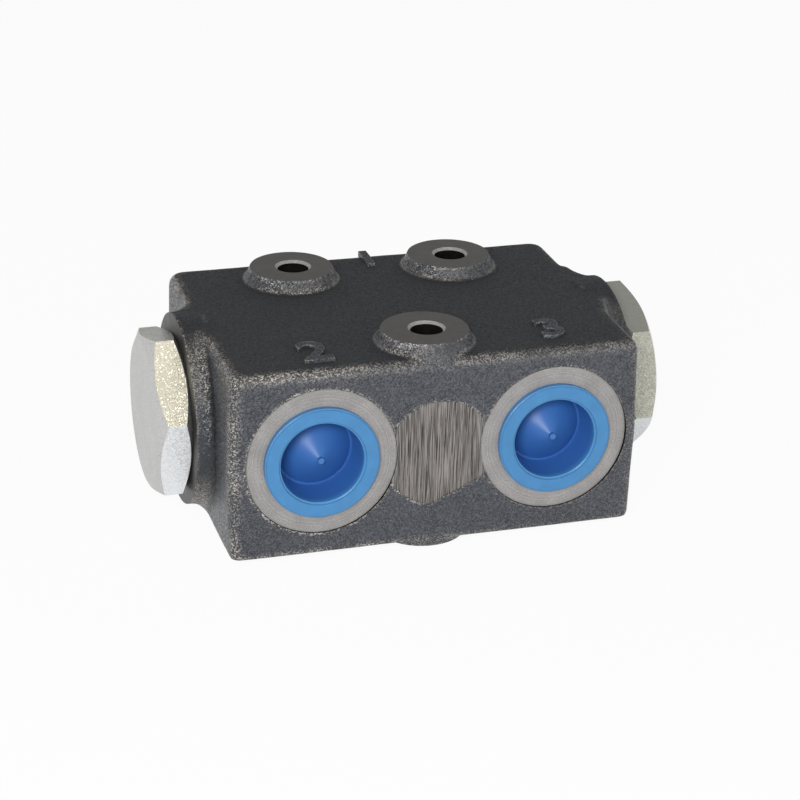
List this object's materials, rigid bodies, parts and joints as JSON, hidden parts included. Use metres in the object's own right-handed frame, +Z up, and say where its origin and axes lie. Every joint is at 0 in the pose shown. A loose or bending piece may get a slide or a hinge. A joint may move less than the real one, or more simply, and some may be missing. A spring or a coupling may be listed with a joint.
{
  "type": "hydraulic flow divider",
  "caption": "Spool-type hydraulic flow divider: cast iron block with linked spools in a bore, hex end plugs, plugged threaded ports and through-holed mounting pads.",
  "frame": {"origin": "bottom centre of the bounding box, on the plane of the three lower mounting pads", "axes": "+X along the spool bore to the right plug, +Y from the face with the two outlet ports to the face with the inlet port, +Z up"},
  "size_m": [0.138, 0.0814, 0.057],
  "materials": {
    "cast_iron": "phosphated dark casting, machined faces bare",
    "zinc_steel": "zinc plated, satin",
    "spool_steel": "hardened and ground",
    "link_steel": "plain steel",
    "spring_steel": "oiled spring wire",
    "seal_rubber": "nitrile rubber",
    "plug_plastic": "soft moulded plastic, semi-gloss"
  },
  "bodies": {
    "housing": {"valve_body": "cast_iron", "left_hex_plug": "zinc_steel", "right_hex_plug": "zinc_steel", "left_plug_seal": "seal_rubber", "right_plug_seal": "seal_rubber", "left_spring": "spring_steel", "right_spring": "spring_steel", "left_spring_shim": "link_steel", "right_spring_shim": "link_steel", "left_port_plug": "plug_plastic", "right_port_plug": "plug_plastic", "rear_port_plug": "plug_plastic"},
    "left_spool_set": {"left_spool": "spool_steel", "left_orifice_disc": "spool_steel", "left_disc_ring": "spring_steel", "left_link_pin": "link_steel", "spool_link": "link_steel"},
    "right_spool_set": {"right_spool": "spool_steel", "right_orifice_disc": "spool_steel", "right_disc_ring": "spring_steel", "right_link_pin": "link_steel"}
  },
  "joints": [
    {"name": "spool_pair_slide", "type": "slide", "parent": "housing", "child": "left_spool_set", "axis": [1, 0, 0], "range_m": [-0.0024, 0.0024], "deforming": ["left_spring", "right_spring"]},
    {"name": "right_spool_play", "type": "slide", "parent": "left_spool_set", "child": "right_spool_set", "axis": [1, 0, 0], "range_m": [-0.0015, 0.0015], "deforming": ["right_spring"]}
  ]
}
